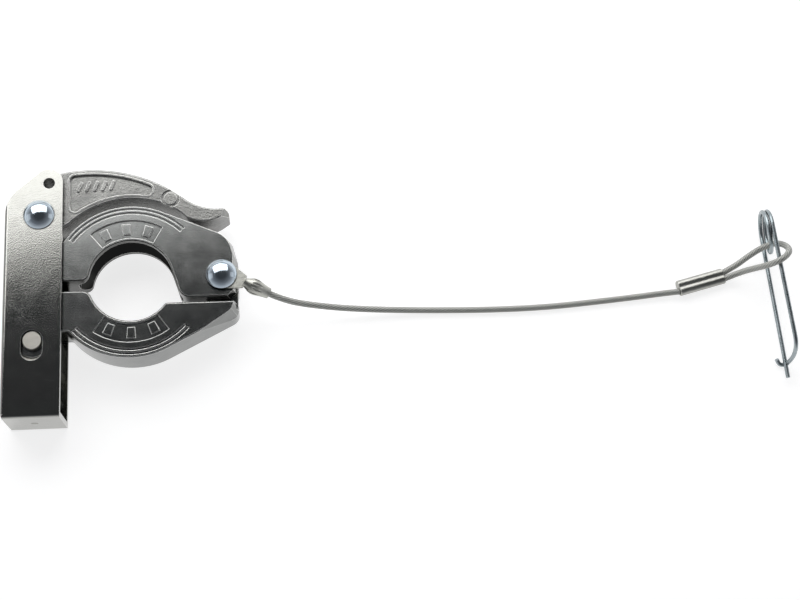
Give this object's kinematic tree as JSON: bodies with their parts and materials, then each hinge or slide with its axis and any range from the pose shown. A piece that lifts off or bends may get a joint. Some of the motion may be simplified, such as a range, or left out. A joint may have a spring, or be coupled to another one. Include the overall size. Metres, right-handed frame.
{
  "type": "trailer coupler lock",
  "caption": "Hinged ring clamp held shut by a sprung draw channel and a cam lever, with a wire safety clip on a cable lanyard.",
  "frame": {"origin": "the middle of the clamping bore: on its axis, half-way through the jaws", "axes": "+X from the draw channel towards the hinge rivet and the lanyard, +Y up the channel towards the cam lever's rivet, +Z along the bore's axis out of the front face"},
  "size_m": [0.3084, 0.0983, 0.0245],
  "materials": {
    "plated_channel": "satin plated sheet steel",
    "plated_jaws": "satin plated steel casting",
    "plated_lever": "stippled plated steel casting",
    "rivet_zinc": "bright zinc plated",
    "pin_steel": "matte turned end",
    "spring_steel": "dark spring wire",
    "tinned_lug": "tinned, crimped",
    "coated_cable": "steel strands in clear plastic",
    "ferrule_nickel": "nickel plated, pressed",
    "clip_zinc": "zinc plated wire"
  },
  "bodies": {
    "lower_jaw": {"lower_jaw": "plated_jaws", "hinge_rivet": "rivet_zinc", "pivot_pin": "pin_steel"},
    "upper_jaw": {"upper_jaw": "plated_jaws"},
    "draw_link": {"spring_seat": "pin_steel", "draw_spring": "spring_steel"},
    "draw_channel": {"channel": "plated_channel", "lever_rivet": "rivet_zinc"},
    "lever": {"cam_lever": "plated_lever"},
    "lanyard": {"ring_terminal": "tinned_lug", "cable_main": "coated_cable", "loop_ferrule": "ferrule_nickel", "cable_loop": "coated_cable"},
    "clip": {"safety_clip": "clip_zinc"}
  },
  "joints": [
    {"name": "lever_turn", "type": "hinge", "parent": "draw_channel", "child": "lever", "pos_m": [-0.0344, 0.0266, 0], "axis": [0, 0, 1], "range_deg": [0, 100]},
    {"name": "channel_swing", "type": "hinge", "parent": "lower_jaw", "child": "draw_link", "pos_m": [-0.0362, -0.023, 0], "axis": [0, 0, 1], "range_deg": [0, 50]},
    {"name": "upper_jaw_hinge", "type": "hinge", "parent": "lower_jaw", "child": "upper_jaw", "pos_m": [0.0344, 0.001, 0], "axis": [0, 0, 1], "range_deg": [-25, 0]},
    {"name": "channel_slide", "type": "slide", "parent": "draw_link", "child": "draw_channel", "axis": [0, 1, 0], "range_m": [0, 0.004], "stiffness_N_per_m": 12000, "springref_m": -0.004, "deforming": ["draw_spring"]},
    {"name": "lanyard_swivel", "type": "hinge", "parent": "lower_jaw", "child": "lanyard", "pos_m": [0.0344, 0.001, 0.00855], "axis": [0, 0, 1], "range_deg": [-6, 15]},
    {"name": "clip_swing", "type": "hinge", "parent": "lanyard", "child": "clip", "pos_m": [0.2544, 0.01, -0.00115], "axis": [0, 0, 1], "range_deg": [-4, 6]}
  ],
  "couplings": [
    {"joint": "channel_swing", "follows": "lever_turn", "ratio": 0.5},
    {"joint": "upper_jaw_hinge", "follows": "lever_turn", "ratio": -0.25}
  ]
}
